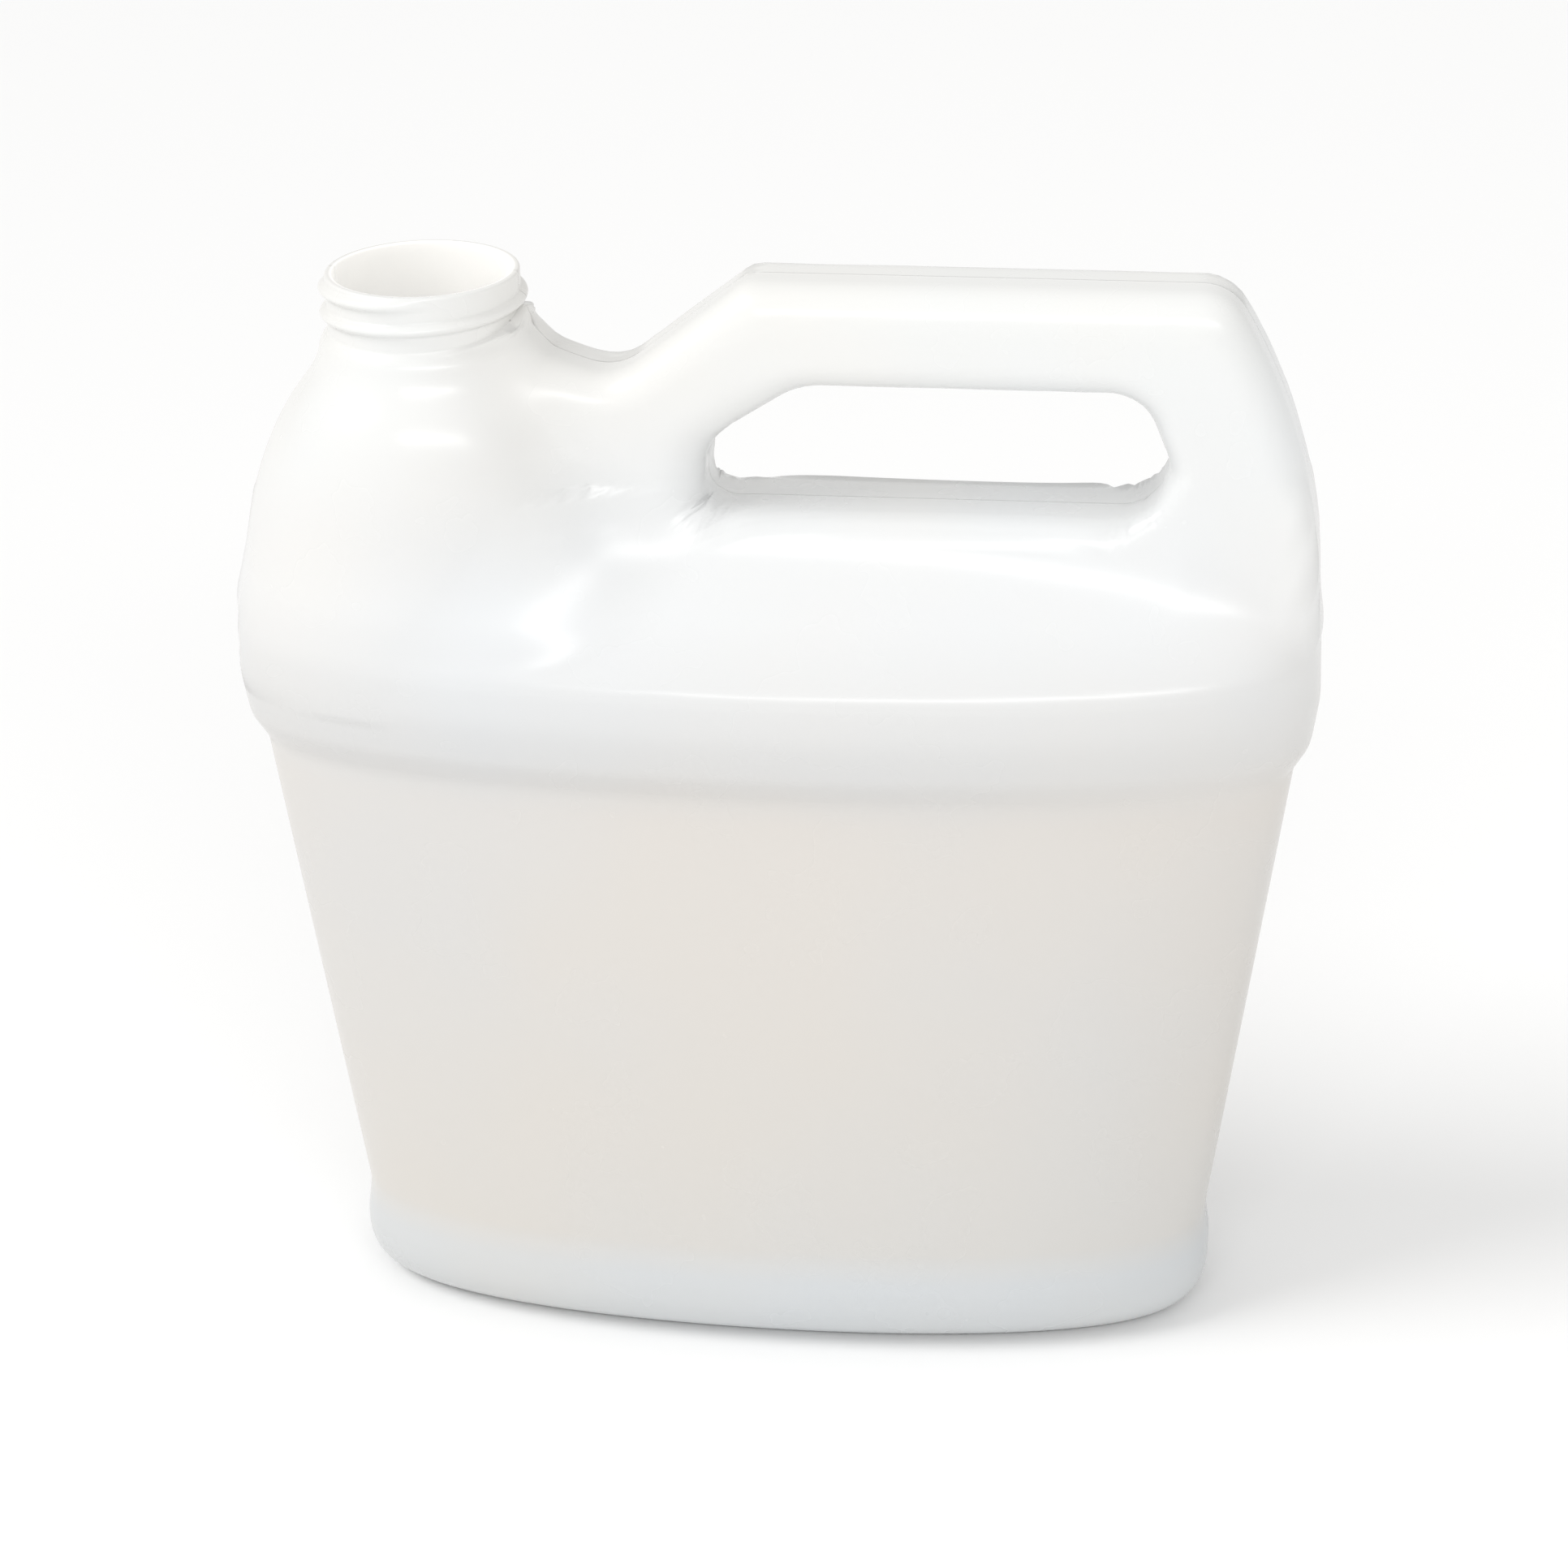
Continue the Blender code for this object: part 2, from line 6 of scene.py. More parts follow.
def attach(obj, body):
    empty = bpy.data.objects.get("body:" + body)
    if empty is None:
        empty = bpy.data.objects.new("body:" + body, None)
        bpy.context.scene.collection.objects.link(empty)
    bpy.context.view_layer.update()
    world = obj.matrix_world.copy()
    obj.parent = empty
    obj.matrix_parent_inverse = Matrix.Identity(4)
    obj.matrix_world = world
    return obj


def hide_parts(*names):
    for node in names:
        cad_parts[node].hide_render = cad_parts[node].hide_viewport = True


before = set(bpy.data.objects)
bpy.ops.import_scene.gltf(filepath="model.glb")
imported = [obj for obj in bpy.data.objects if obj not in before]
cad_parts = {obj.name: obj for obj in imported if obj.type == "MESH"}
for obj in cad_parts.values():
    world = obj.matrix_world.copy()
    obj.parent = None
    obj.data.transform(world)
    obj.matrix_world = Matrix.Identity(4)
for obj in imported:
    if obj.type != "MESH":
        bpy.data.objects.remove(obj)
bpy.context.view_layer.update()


# The shell. One hollow piece of milky polyethylene, blown in a two-part mould that closes on
# the plane y = 0. Body, tower, neck and hollow handle are one wall about 1 mm thick, thicker
# at the neck, whose thread is formed in the same shot. Lengths here are millimetres.

WALL = 1.0
BASE_HALF_LENGTH, BASE_HALF_DEPTH, BASE_EDGE_RADIUS = 104.3, 38.3, 12.5
PUSH_UP = 2.5
WAIST_Z, STEP_Z, SHOULDER_Z, RIDGE_Z, SLOPE_TOP_Z = 24.5, 146.4, 159.6, 174.6, 205.4
STEP_HALF_LENGTH, STEP_HALF_DEPTH = 121.6, 36.8
SHOULDER_HALF_LENGTH, SHOULDER_HALF_DEPTH = 126.8, 42.5
SLOPE_TOP_HALF_DEPTH = 9.4
NECK_X, RIM_Z = -78.5, 259.1
COLLAR_RADIUS, NECK_RADIUS, BORE_RADIUS = 23.9, 22.1, 20.3
TOWER_RADIUS, TOWER_MID_Z, TOWER_RISE, TOWER_FOOT_Z = 47.1, 166.4, 82.2, 160.7
HANDLE_TOP_Z, HANDLE_HALF_DEPTH, HANDLE_EDGE, FLOOR_EDGE = 260.0, 13.9, 7.8, 1.6
HANDLE_FILLET, END_FILLET, NECK_FILLET = 9.4, 3.0, 5.2
HOLE_END_FILLET, HOLE_FILLET = 12.6, 6.2
TOWER_FOOT_FILLET, TOWER_LEFT_FILLET, TOWER_RIGHT_FILLET = 0.8, 3.2, 20.0
END_ARC_RADIUS, END_ARC_X, END_ARC_Z = 132.2, -6.6, 186.5
HOLE_CORNERS = ((-12.0, 207.0, 6.2), (87.2, 207.4, 8.5), (89.9, 219.7, 9.7),
                (83.8, 235.2, 9.7), (9.5, 235.1, 16.0), (-11.0, 220.0, 12.0))


def rounded_path(corners, closed, points=14):
    """Polyline through corners (u, v, radius): each corner becomes an arc tangent to its two
    sides, swept at even angles about its centre on the corner's bisector."""
    path = []
    for k, (u, v, radius) in enumerate(corners):
        here = np.array((u, v))
        if radius == 0 or (not closed and k in (0, len(corners) - 1)):
            path.append(here[None])
            continue
        to_last = np.array(corners[k - 1][:2]) - here
        to_next = np.array(corners[(k + 1) % len(corners)][:2]) - here
        to_last /= np.linalg.norm(to_last)
        to_next /= np.linalg.norm(to_next)
        half = 0.5 * np.arccos(np.clip(to_last @ to_next, -1.0, 1.0))
        middle = to_last + to_next
        centre = here + middle / np.linalg.norm(middle) * radius / np.sin(half)
        first = here + to_last * radius / np.tan(half) - centre
        last = here + to_next * radius / np.tan(half) - centre
        turn = np.arctan2(first[0] * last[1] - first[1] * last[0], first @ last)
        angle = np.linspace(0.0, turn, points)[:, None]
        aside = np.array((-first[1], first[0]))
        path.append(centre + np.cos(angle) * first + np.sin(angle) * aside)
    return np.concatenate(path)


def outline_distance(path, x, z):
    """Distance from (x, z) to the nearest side of a closed outline, negative inside it."""
    best = np.full(x.shape, 1e9)
    inside = np.zeros(x.shape, dtype=bool)
    for (x0, z0), (x1, z1) in zip(path, np.roll(path, -1, axis=0)):
        ex, ez = x1 - x0, z1 - z0
        t = np.clip(((x - x0) * ex + (z - z0) * ez) / (ex * ex + ez * ez + 1e-12), 0.0, 1.0)
        best = np.minimum(best, (x - x0 - t * ex) ** 2 + (z - z0 - t * ez) ** 2)
        if z0 != z1:
            inside ^= ((z0 > z) != (z1 > z)) & (x < x0 + (z - z0) * ex / ez)
    return np.where(inside, -1.0, 1.0) * np.sqrt(best)


def blend_union(first, second, width):
    """Lower of two fields, with a fillet of the given width where they cross."""
    overlap = np.maximum(width - np.abs(first - second), 0.0) / width
    return np.minimum(first, second) - overlap * overlap * width * 0.25


LENGTH_PROFILE = rounded_path((
    (BASE_HALF_LENGTH + 1.2, 0.0, 0), (BASE_HALF_LENGTH + 1.2, 15.6, 12.5),
    (BASE_HALF_LENGTH, WAIST_Z, 12.5), (STEP_HALF_LENGTH, STEP_Z, 1.0),
    (SHOULDER_HALF_LENGTH - 1.6, STEP_Z + 6.2, 8.0),
    (SHOULDER_HALF_LENGTH, STEP_Z + 17.0, 20.0),
    (SHOULDER_HALF_LENGTH - 0.6, RIDGE_Z + 7.5, 14.0),
    (SHOULDER_HALF_LENGTH - 4.5, RIDGE_Z + 17.0, 12.5),
    (SHOULDER_HALF_LENGTH - 14.6, SLOPE_TOP_Z, 0)), False)
DEPTH_PROFILE = rounded_path((
    (BASE_HALF_DEPTH + 1.2, 0.0, 0), (BASE_HALF_DEPTH + 1.2, 15.6, 12.5),
    (BASE_HALF_DEPTH, WAIST_Z, 12.5), (STEP_HALF_DEPTH, STEP_Z, 1.0),
    (SHOULDER_HALF_DEPTH - 1.8, STEP_Z + 6.6, 8.0), (SHOULDER_HALF_DEPTH, STEP_Z + 17.0, 24.0),
    (SHOULDER_HALF_DEPTH, RIDGE_Z, 5.5), (SLOPE_TOP_HALF_DEPTH, SLOPE_TOP_Z, 0),
    (1.0, SLOPE_TOP_Z + 8.3, 0)), False)
arc_top = np.arcsin((HANDLE_TOP_Z - END_ARC_Z) / END_ARC_RADIUS)
END_ARC = [(END_ARC_X + END_ARC_RADIUS * np.cos(a), END_ARC_Z + END_ARC_RADIUS * np.sin(a), 0)
           for a in np.linspace(-0.04, arc_top - 0.07, 24)]
END_CORNER = (END_ARC_X + END_ARC_RADIUS * np.cos(arc_top), HANDLE_TOP_Z, 11.5)
PLATE_OUTLINE = rounded_path(
    [(101.9, 158.1, 0), (118.0, 170.0, 0)] + END_ARC + [END_CORNER] + [
        (-4.0, HANDLE_TOP_Z, 6.2), (-34.3, 236.6, 12.0), (-49.4, 241.0, 5.2),
        (-56.0, 247.0, 0), (NECK_X, 247.0, 0), (NECK_X, 160.7, 0)], True)
HOLE_OUTLINE = rounded_path(HOLE_CORNERS, True)
NECK_PROFILE = rounded_path((
    (COLLAR_RADIUS, 160.7, 0), (COLLAR_RADIUS, 243.6, 1.2), (NECK_RADIUS, 245.8, 1.2),
    (NECK_RADIUS, RIM_Z + 10.4, 0)), False)


def ease(share):
    """Smooth step from 0 to 1: 3 s^2 - 2 s^3, with s held between 0 and 1."""
    share = np.clip(share, 0.0, 1.0)
    return share * share * (3.0 - 2.0 * share)


def body_field(x, y, z):
    """Tapered body: |x / a|^2 + |y / b|^3 - 1, where the half axes a and b follow the two
    profiles with height, divided by its slope so that it reads about as a distance. Outside,
    where the sum s is over 1, 2.5 (s - s^0.6) takes its place, which grows more evenly."""
    a = np.interp(z, LENGTH_PROFILE[:, 1], LENGTH_PROFILE[:, 0])
    b = np.interp(z, DEPTH_PROFILE[:, 1], DEPTH_PROFILE[:, 0])
    b_slope = (np.interp(z + 0.5, DEPTH_PROFILE[:, 1], DEPTH_PROFILE[:, 0]) - b) / 0.5
    u, v = np.abs(x) / a, np.abs(y) / b
    steep = np.hypot(2.0 * u / a, 3.0 * v ** 2 / b * np.sqrt(1.0 + b_slope ** 2)) + 0.004
    value = u ** 2 + v ** 3
    far = np.maximum(value, 1.0)
    reach = np.where(value > 1.0, 2.5 * (far - far ** 0.6), value - 1.0)
    return np.maximum(reach / steep, z - SLOPE_TOP_Z - 0.5)


def tower_field(x, y, z):
    """Tower under the neck, with oval sections x^2 + (n y)^2 = R^2 about the neck's axis. R
    falls with height like a quarter of a full oval, and n eases from 1.36 to 1."""
    narrow = 1.0 + 0.36 * ease((238.0 - z) / 47.0)
    rise = np.clip((z - TOWER_MID_Z) / TOWER_RISE, 0.0, 0.995)
    scale = np.sqrt(1.0 - rise ** 2.3)
    radius = np.hypot(x - NECK_X, y * narrow)
    steep = np.hypot(1.0, 1.15 * TOWER_RADIUS * rise ** 1.3 / (TOWER_RISE * scale))
    return np.maximum((radius - TOWER_RADIUS * scale) / steep, TOWER_FOOT_Z - z)


def jug_field(x, y, z):
    """Negative inside the jug and zero on its outside: body, tower, round-edged plate of the
    handle and neck joined with fillets, less the finger hole, whose edge is round at the
    handle and nearly sharp along the floor."""
    soft = np.maximum(np.clip((z - 209.0) / 10.0, 0.0, 1.0), np.clip((-4.5 - x) / 12.0, 0.0, 1.0))
    edge_radius = FLOOR_EDGE + (HANDLE_EDGE - FLOOR_EDGE) * soft
    hole = outline_distance(HOLE_OUTLINE, x, z)
    edge = np.maximum(outline_distance(PLATE_OUTLINE, x, z), -hole) + edge_radius
    side = np.abs(y) - HANDLE_HALF_DEPTH + edge_radius
    plate = (np.minimum(np.maximum(edge, side), 0.0) - edge_radius
             + np.hypot(np.maximum(edge, 0.0), np.maximum(side, 0.0)))
    flank = TOWER_LEFT_FILLET + TOWER_RIGHT_FILLET * ease((x + 82.0) / 40.0)
    flank = TOWER_FOOT_FILLET + flank * ease((z - 160.0) / 26.0)
    field = blend_union(body_field(x, y, z), tower_field(x, y, z), flank)
    field = blend_union(field, plate, np.interp(x, (95.0, 115.0), (HANDLE_FILLET, END_FILLET)))
    neck = np.hypot(x - NECK_X, y) - np.interp(z, NECK_PROFILE[:, 1], NECK_PROFILE[:, 0])
    field = blend_union(field, neck, NECK_FILLET)
    cut = np.interp(x, (-6.8, 14.0), (HOLE_END_FILLET, HOLE_FILLET)) * (0.2 + 0.8 * soft)
    return -blend_union(-field, hole, cut)


def field_normal(points):
    """Outward unit normal: differences of the field 0.15 mm either side along each axis."""
    def value(places):
        return jug_field(*np.moveaxis(places, -1, 0))

    slope = np.stack([value(points + d) - value(points - d) for d in 0.15 * np.eye(3)], -1)
    return slope / np.linalg.norm(slope, axis=-1, keepdims=True)


# Net of the front half above the step. Each node is a ray: a start (x, z) in the mould's
# plane and a direction (dx, weight, dz). The surface is where the ray leaves the jug.
# The lowest ring of the neck lies at RING_Z and lifts over the web by RING_LIFT.
RING, WEB, ACROSS, END = 48, 10, 48, 28
BELOW, BESIDE, ABOVE = 28, 18, 28
RING_Z, RING_LIFT = 245.8, 5.2


def run(knots, count):
    """Even steps along knots, each knot being (share of the way, values...)."""
    knots = np.array(knots, dtype=float)
    share = np.arange(count + 1) / count
    return np.stack([np.interp(share, knots[:, 0], knots[:, k]) for k in range(1, knots.shape[1])])


def ray_net(fine, guess=None):
    """Rays of every node at a given fineness: those on the jug's ends, neck, top and hole are
    set, and the rest are relaxed until each is the mean of its four neighbours."""
    ring, web, across, end = (n // fine for n in (RING, WEB, ACROSS, END))
    below, beside, above = (n // fine for n in (BELOW, BESIDE, ABOVE))
    left = ring + web
    columns, rows = left + across + end, below + beside + above
    i0, i1, j0, j1 = left, left + across, below, below + beside
    net = np.zeros((columns + 1, rows + 1, 5))
    if guess is not None:
        ci = np.linspace(0, guess.shape[0] - 1, columns + 1)
        rj = np.linspace(0, guess.shape[1] - 1, rows + 1)
        i = np.minimum(ci.astype(int), guess.shape[0] - 2)
        j = np.minimum(rj.astype(int), guess.shape[1] - 2)
        s, t = (ci - i)[:, None, None], (rj - j)[None, :, None]
        net = ((1 - s) * (1 - t) * guess[np.ix_(i, j)] + s * (1 - t) * guess[np.ix_(i + 1, j)]
               + (1 - s) * t * guess[np.ix_(i, j + 1)] + s * t * guess[np.ix_(i + 1, j + 1)])
    keep = [0, 1, 2, 4]
    net[0], net[-1], net[:, 0], net[:, -1] = 0.0, 0.0, 0.0, 0.0
    net[0, :, keep] = run([(0, -90.0, SHOULDER_Z, -1, 0), (0.3, -85.7, 176.8, -1, 0),
                           (0.75, NECK_X, 219.6, -1, 0), (1, NECK_X, 245.3, -1, 0)], rows)
    net[-1, :, keep] = run([(0, 90.0, SHOULDER_Z, 1, 0), (0.3, 101.9, 182.1, 1, 0),
                            (0.7, 110.2, 222.6, 1, 0.1), (0.85, 107.1, 238.2, 0.9, 0.4),
                            (1, 99.8, 250.6, 0.7, 0.7)], rows)
    turn = np.radians(np.interp(np.arange(columns + 1), (0, left, i1, columns),
                                (-90.0, -22.0, 40.0, 90.0)))
    net[:, 0] = np.stack([90.0 * np.sin(turn), SHOULDER_Z + 0 * turn, np.sin(turn),
                          3.0 * np.cos(turn), 0 * turn], -1)
    turn = np.pi * (1.0 + np.arange(ring + 1) / ring)
    lift = RING_Z + RING_LIFT * (0.5 + 0.5 * np.cos(turn)) ** 4
    net[:ring + 1, -1] = np.stack([NECK_X + 0 * turn, lift, np.cos(turn), -np.sin(turn),
                                   0 * turn], -1)
    net[ring:, -1, 3] = 0.0
    net[ring:, -1, keep] = run([
        (0, NECK_X, 251.0, 1, 0), (0.06, -62.1, 237.0, 0.8, 0.6), (0.12, -49.3, 229.2, 0.35, 0.95),
        (0.2, -36.4, 226.0, -0.2, 1), (0.3, -19.2, 235.7, -0.6, 0.8), (0.4, -2.1, 247.4, -0.3, 1),
        (0.48, 10.4, 248.6, 0, 1), (0.85, 87.4, 250.6, 0.1, 1), (1, 99.8, 250.6, 0.7, 0.7)],
        columns - ring).T
    hole = net[i0:i1 + 1, j0:j1 + 1]
    hole[:] = 0.0
    hole[:, 0, keep] = run([(0, -12.0, 197.1, 0, 1), (1, 88.9, 197.1, 0, 1)], across).T
    hole[:, -1, keep] = run([(0, -1.0, 247.4, 0, -1), (1, 83.5, 247.4, 0, -1)], across).T
    hole[0, :, keep] = run([(0, -26.0, 200.3, 0.85, 0.53), (0.4, -26.4, 213.2, 1, 0),
                            (0.8, -18.9, 234.6, 0.8, -0.6), (1, -10.3, 242.1, 0.6, -0.8)], beside)
    hole[-1, :, keep] = run([(0, 96.4, 199.3, -0.7, 0.7), (0.4, 102.9, 216.4, -1, 0),
                             (0.7, 101.8, 227.1, -1, 0), (1, 95.2, 246.5, -0.7, -0.7)], beside)
    free = np.zeros(net.shape[:2], dtype=bool)
    free[1:-1, 1:-1] = True
    free[i0:i1 + 1, j0:j1 + 1] = False
    pull = np.array([0.0, 0.0, 0.0, 8.0 / above ** 2, 0.0])
    inner = free[1:-1, 1:-1, None]
    for _ in range(3000 if guess is None else 700):
        mean = 0.25 * (net[:-2, 1:-1] + net[2:, 1:-1] + net[1:-1, :-2] + net[1:-1, 2:] + pull)
        net[1:-1, 1:-1] = np.where(inner, mean, net[1:-1, 1:-1])
    return net


FURTHEST, STRIDE = 74.0, 2.0


def shoot(start, ray):
    """Where each ray leaves the jug: the first 2 mm step that ends outside, then sixteen
    halvings of that step."""
    ray = ray / np.linalg.norm(ray, axis=-1, keepdims=True)
    far = np.full(start.shape[:-1], FURTHEST)
    for reach in np.arange(FURTHEST - STRIDE, 0.0, -STRIDE):
        outside = jug_field(*np.moveaxis(start + ray * reach, -1, 0)) > 0.0
        far = np.where(outside, reach, far)
    near = far - STRIDE
    for _ in range(16):
        middle = 0.5 * (near + far)
        outside = jug_field(*np.moveaxis(start + ray * middle[..., None], -1, 0)) > 0.0
        near, far = np.where(outside, near, middle), np.where(outside, middle, far)
    return start + ray * far[..., None]


net = ray_net(1, ray_net(2))
start = np.stack([net[..., 0], 0.0 * net[..., 0], net[..., 1]], -1)
ray = np.stack([net[..., 2], -net[..., 3] ** 2 / (net[..., 3] + 1.0), net[..., 4]], -1)
I0, I1, J0, J1 = RING + WEB, RING + WEB + ACROSS, BELOW, BELOW + BESIDE
hidden = np.zeros(start.shape[:2], dtype=bool)
hidden[I0 + 1:I1, J0 + 1:J1] = True
ray[hidden] = (0.0, -1.0, 0.0)
top = shoot(start, ray)
top[..., 1] = np.where((ray[..., 1] == 0.0) & ~hidden, 0.0, top[..., 1])

# sections round the step between the panel and the shoulder
step_z = np.linspace(STEP_Z, SHOULDER_Z, 13)[:-1]
level = np.repeat(start[:, :1], len(step_z), axis=1)
level[..., 2] = step_z
step = shoot(level, np.repeat(ray[:, :1], len(step_z), axis=1))
step[[0, -1], :, 1] = 0.0

# the step's lowest section, scaled to each height of the panel and round the base edge, then
# under the base: standing ring, push-up, and the pinched weld along its middle
panel_z = np.concatenate([np.linspace(STEP_Z - 2.1, 31.2, 14), np.linspace(28.6, 13.5, 12)])
turn = np.linspace(0.0, 0.5 * np.pi, 11)
inset = np.concatenate([0.0 * panel_z, BASE_EDGE_RADIUS * (1.0 - np.cos(turn)),
                        BASE_EDGE_RADIUS + np.array([2.5, 5.0, 6.0, 7.0, 8.5, 10.0])])
height = np.concatenate([panel_z, BASE_EDGE_RADIUS * (1.0 - np.sin(turn)),
                         PUSH_UP * np.array([0.0, 0.0, 0.1, 0.4, 0.85, 1.0])])
half_length = np.interp(height, LENGTH_PROFILE[:, 1], LENGTH_PROFILE[:, 0])
half_depth = np.interp(height, DEPTH_PROFILE[:, 1], DEPTH_PROFILE[:, 0])
foot = len(panel_z)
half_length[foot:], half_depth[foot:] = LENGTH_PROFILE[0, 0], DEPTH_PROFILE[0, 0]
unit = step[:, 0] / (STEP_HALF_LENGTH, STEP_HALF_DEPTH, 1.0)
low = np.stack([unit[:, None, 0] * (half_length - inset), unit[:, None, 1] * (half_depth - inset),
                np.broadcast_to(height, (len(unit), len(height)))], -1)
share = np.array([0.25, 0.5, 0.7, 0.85, 0.94, 0.975, 1.0])[None, :, None]
weld = low[:, -1:] * (0.9, 0.0, 1.0)
under = low[:, -1:] * (1.0 - share) + weld * share
under[..., 2] -= 0.7 * np.exp(-(under[..., 1] / 0.9) ** 2)
front = np.concatenate([under[:, ::-1], low[:, ::-1], step, top], axis=1)

# inside of the wall: each point moved in along its outward normal, further near the neck
NECK_EXTRA = 2.3
along, up = np.gradient(front, axis=0), np.gradient(front, axis=1)
normal = np.cross(along, up)
lows = under.shape[1] + low.shape[1]
normal[:, lows:] = field_normal(front[:, lows:])
normal[[0, -1], :lows, 1] = 0.0
normal[:, 0] = (0.0, 0.0, -1.0)
normal /= np.linalg.norm(normal, axis=-1, keepdims=True) + 1e-12
seam = np.abs(front[..., 1]) < 1e-9
near_neck = np.clip((front[..., 2] - 229.2) / 15.0, 0.0, 1.0)
aside = np.hypot(front[..., 0] - NECK_X, front[..., 1])
near_neck = near_neck * np.clip((34.3 - aside) / 6.0, 0.0, 1.0)
back = front - normal * (WALL + NECK_EXTRA * near_neck ** 2)[..., None]
back[..., 1] = np.where(seam, 0.0, back[..., 1])
BORE_DROP = 1.5
mouth = front[:RING + 1, -1]
reach = np.hypot(mouth[:, 0] - NECK_X, mouth[:, 1])
back[:RING + 1, -1] = np.stack([NECK_X + (mouth[:, 0] - NECK_X) * BORE_RADIUS / reach,
                                mouth[:, 1] * BORE_RADIUS / reach, mouth[:, 2] - BORE_DROP], -1)


# Neck finish. Part of the same shell, with a raised right-hand thread for a 48 mm screw cap
# and a rounded lip. It is built as rings from the collar to the rim and down the bore.
THREAD_PITCH, THREAD_HEIGHT, THREAD_HALF_WIDTH = 5.8, 1.6, 1.6
THREAD_DROP, THREAD_TURNS = 7.7, 1.5
OUTER_LIP, INNER_LIP = 0.6, 0.5


def thread_bulge(turn, z):
    """Height of the right-hand thread over the neck: a half cosine across its width, whose
    middle climbs one pitch a turn, faded out over a tenth of a turn at both ends."""
    bulge = np.zeros(np.broadcast(turn, z).shape)
    for lap in (-1, 0, 1, 2):
        along = (turn - 1.5 * np.pi) / (2.0 * np.pi) + lap
        gap = (z - (RIM_Z - THREAD_DROP) - THREAD_PITCH * along) / THREAD_HALF_WIDTH
        fade = np.clip(10.0 * (along + 0.45), 0.0, 1.0)
        fade = fade * np.clip(10.0 * (THREAD_TURNS - 0.45 - along), 0.0, 1.0)
        fade = ease(fade)
        wave = np.cos(0.5 * np.pi * np.clip(gap, -1, 1))
        bulge = np.maximum(bulge, THREAD_HEIGHT * fade * wave)
    return bulge


ring = np.concatenate([mouth, mouth[-2:0:-1] * (1.0, -1.0, 1.0)])
turn = np.arctan2(ring[:, 1], ring[:, 0] - NECK_X) % (2.0 * np.pi)
climb = np.linspace(0.0, 1.0, 41)[1:, None]
z = ring[:, 2] + climb * (RIM_Z - OUTER_LIP - ring[:, 2])
r = np.interp(z, NECK_PROFILE[:, 1], NECK_PROFILE[:, 0]) + thread_bulge(turn, z)
lip = np.linspace(0.0, 0.5 * np.pi, 5)[1:, None]
r_lip = np.concatenate([NECK_RADIUS - OUTER_LIP * (1.0 - np.cos(lip)),
                        BORE_RADIUS + INNER_LIP * (1.0 - np.sin(lip))])
z_lip = np.concatenate([RIM_Z - OUTER_LIP * (1.0 - np.sin(lip)),
                        RIM_Z - INNER_LIP * (1.0 - np.cos(lip))])
bore = np.linspace(0.0, 1.0, 8)[1:-1, None]
z_bore = (RIM_Z - INNER_LIP) * (1.0 - bore) + (ring[:, 2] - BORE_DROP) * bore
lip_shape = (len(r_lip), len(ring))
r = np.concatenate([r, np.broadcast_to(r_lip, lip_shape), 0.0 * z_bore + BORE_RADIUS])
z = np.concatenate([z, np.broadcast_to(z_lip, lip_shape), z_bore])
rings = np.stack([NECK_X + r * np.cos(turn), r * np.sin(turn), z], -1)

# one mesh: front and back halves share the points on the mould's plane, outside and inside
# walls are joined over the rim, and the corner cells there are triangles
count = front.shape[0] * front.shape[1]
number = np.arange(count).reshape(front.shape[:2])
mirror = np.array((1.0, -1.0, 1.0))
places = [front, front * mirror, back, back * mirror]
halves = [number, np.where(seam, number, number + count),
          number + 2 * count, np.where(seam, number + 2 * count, number + 3 * count)]
first_top = lows + step.shape[1]
solid = np.ones((front.shape[0] - 1, front.shape[1] - 1), dtype=bool)
solid[I0:I1, first_top + J0:first_top + J1] = False
solid[0, 0] = solid[-1, 0] = solid[-1, -1] = False
quads, corners = [], []
for half, outward in zip(halves, (1, -1, -1, 1)):
    cells = np.stack([half[:-1, :-1], half[1:, :-1], half[1:, 1:], half[:-1, 1:]], -1)[solid]
    quads.append(cells[:, ::outward])
    corners += [(half[0, 1], half[1, 0], half[1, 1])[::outward],
                (half[-2, 0], half[-1, 1], half[-2, 1])[::outward],
                (half[-2, -2], half[-1, -2], half[-2, -1])[::outward]]
loops = [np.concatenate([half[:RING + 1, -1], other[RING - 1:0:-1, -1]])
         for half, other in (halves[:2], halves[2:])]
loops[1:1] = list(4 * count + np.arange(rings.shape[0] * len(ring)).reshape(rings.shape[0], -1))
for lower, upper in zip(loops[:-1], loops[1:]):
    quads.append(np.stack([lower, np.roll(lower, -1), np.roll(upper, -1), upper], -1))
quads = np.concatenate(quads)
corners = np.array(corners)
points = np.concatenate([p.reshape(-1, 3) for p in places] + [rings.reshape(-1, 3)])
used, renumbered = np.unique(np.concatenate([quads.ravel(), corners.ravel()]), return_inverse=True)
points = points[used] * 0.001
shift = 0.5 * (points[:, 0].min() + points[:, 0].max())
points[:, 0] -= shift
quads, corners = renumbered[:quads.size].reshape(-1, 4), renumbered[quads.size:].reshape(-1, 3)

mesh = bpy.data.meshes.new("jug_shell")
mesh.from_pydata(points.tolist(), [], quads.tolist() + corners.tolist())
mesh.validate()
mesh.shade_smooth()
shell = bpy.data.objects.new("jug_shell", mesh)
bpy.context.scene.collection.objects.link(shell)


